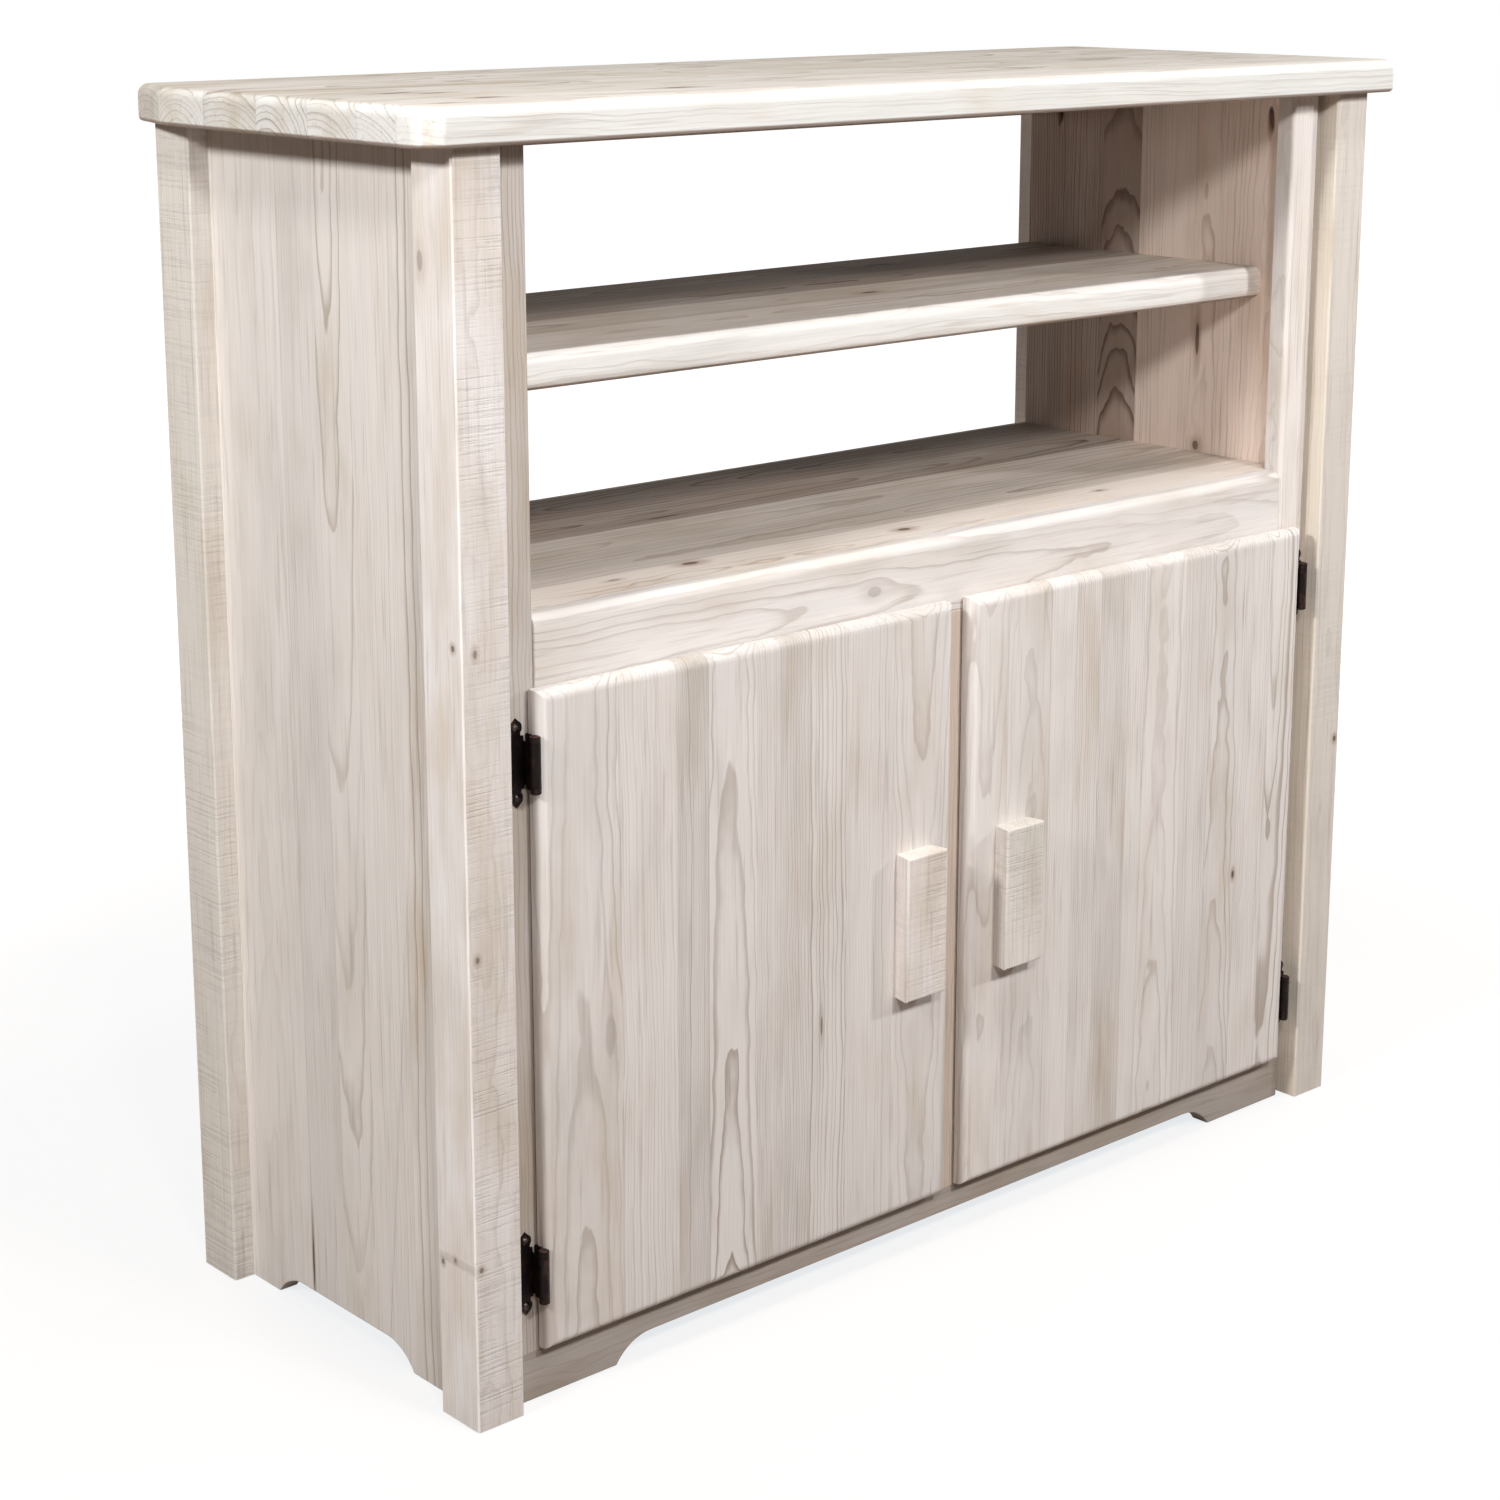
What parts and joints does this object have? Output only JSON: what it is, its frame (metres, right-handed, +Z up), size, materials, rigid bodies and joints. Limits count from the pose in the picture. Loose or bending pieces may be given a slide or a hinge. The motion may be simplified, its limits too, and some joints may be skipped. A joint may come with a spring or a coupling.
{
  "type": "media cabinet",
  "caption": "Whitewashed pine media cabinet: an open bay with a shelf over a cupboard closed by hinged slab doors, between rough-sawn corner posts under an overhanging top.",
  "frame": {"origin": "on the floor under the centre of the cabinet's bounding box", "axes": "+X to the right of someone who faces the doors, +Y to the back, +Z up; doors and handles face -Y"},
  "size_m": [1.136, 0.428, 1.035],
  "materials": {
    "whitewashed_pine": "pale whitewash over planed edge-glued pine, satin",
    "rough_sawn_pine": "pale whitewash over rough-sawn pine with saw marks across the grain, matt",
    "plain_pine": "thin wash over planed pine, matt",
    "dowel_wood": "bare turned hardwood",
    "dark_bronze": "dark oil-rubbed bronze, satin, rubbed bright on the screw heads",
    "steel_screws": "zinc-plated steel"
  },
  "bodies": {
    "case": {"back_left_post": "rough_sawn_pine", "back_low_rail": "plain_pine", "back_rail_dowels": "dowel_wood", "back_right_post": "rough_sawn_pine", "back_top_rail": "plain_pine", "bottom_rail": "whitewashed_pine", "cupboard_back": "plain_pine", "cupboard_back_screws": "steel_screws", "cupboard_floor": "plain_pine", "deck": "whitewashed_pine", "front_left_post": "rough_sawn_pine", "front_right_post": "rough_sawn_pine", "left_frame_leaf_screws": "dark_bronze", "left_inner_wall": "whitewashed_pine", "left_lower_frame_leaf": "dark_bronze", "left_lower_pin": "dark_bronze", "left_side_panel": "whitewashed_pine", "left_sill": "whitewashed_pine", "left_stile": "whitewashed_pine", "left_upper_frame_leaf": "dark_bronze", "left_upper_pin": "dark_bronze", "middle_rail": "whitewashed_pine", "middle_stile": "whitewashed_pine", "pocket_screws": "steel_screws", "post_dowels": "dowel_wood", "right_frame_leaf_screws": "dark_bronze", "right_inner_wall": "whitewashed_pine", "right_lower_frame_leaf": "dark_bronze", "right_lower_pin": "dark_bronze", "right_side_panel": "whitewashed_pine", "right_sill": "whitewashed_pine", "right_stile": "whitewashed_pine", "right_upper_frame_leaf": "dark_bronze", "right_upper_pin": "dark_bronze", "shelf": "whitewashed_pine", "shelf_dowels": "dowel_wood", "top_board": "whitewashed_pine"},
    "left_door": {"left_door": "whitewashed_pine", "left_door_leaf_screws": "dark_bronze", "left_handle": "rough_sawn_pine", "left_handle_screws": "steel_screws", "left_lower_door_leaf": "dark_bronze", "left_upper_door_leaf": "dark_bronze"},
    "right_door": {"right_door": "whitewashed_pine", "right_door_leaf_screws": "dark_bronze", "right_handle": "rough_sawn_pine", "right_handle_screws": "steel_screws", "right_lower_door_leaf": "dark_bronze", "right_upper_door_leaf": "dark_bronze"}
  },
  "joints": [
    {"name": "left_door_hinge", "type": "hinge", "parent": "case", "child": "left_door", "pos_m": [-0.4675, -0.195, 0.3234], "axis": [0, 0, -1], "range_deg": [0, 110]},
    {"name": "right_door_hinge", "type": "hinge", "parent": "case", "child": "right_door", "pos_m": [0.4675, -0.195, 0.3234], "axis": [0, 0, 1], "range_deg": [0, 110]}
  ]
}
